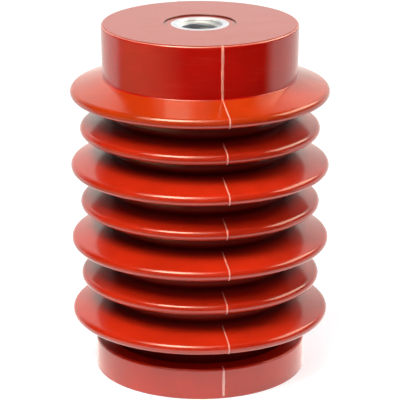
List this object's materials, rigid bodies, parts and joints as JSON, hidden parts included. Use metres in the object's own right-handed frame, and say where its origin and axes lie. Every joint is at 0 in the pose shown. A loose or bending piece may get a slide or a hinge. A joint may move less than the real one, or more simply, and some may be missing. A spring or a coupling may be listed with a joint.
{
  "type": "post insulator",
  "caption": "Cast-resin post insulator: a solid core with large and small rain sheds in turn, a plain head and foot, and a threaded metal insert cast into each end.",
  "frame": {"origin": "centre of the face that the foot stands on, on the insulator's axis", "axes": "+Z along the axis, from the foot to the head; -Y is the side that faces the viewer"},
  "size_m": [0.0942, 0.0942, 0.13],
  "materials": {
    "resin": "gloss, as cast",
    "insert_metal": "turned"
  },
  "bodies": {
    "root": {"resin_body": "resin", "top_insert": "insert_metal", "base_insert": "insert_metal"}
  },
  "joints": []
}
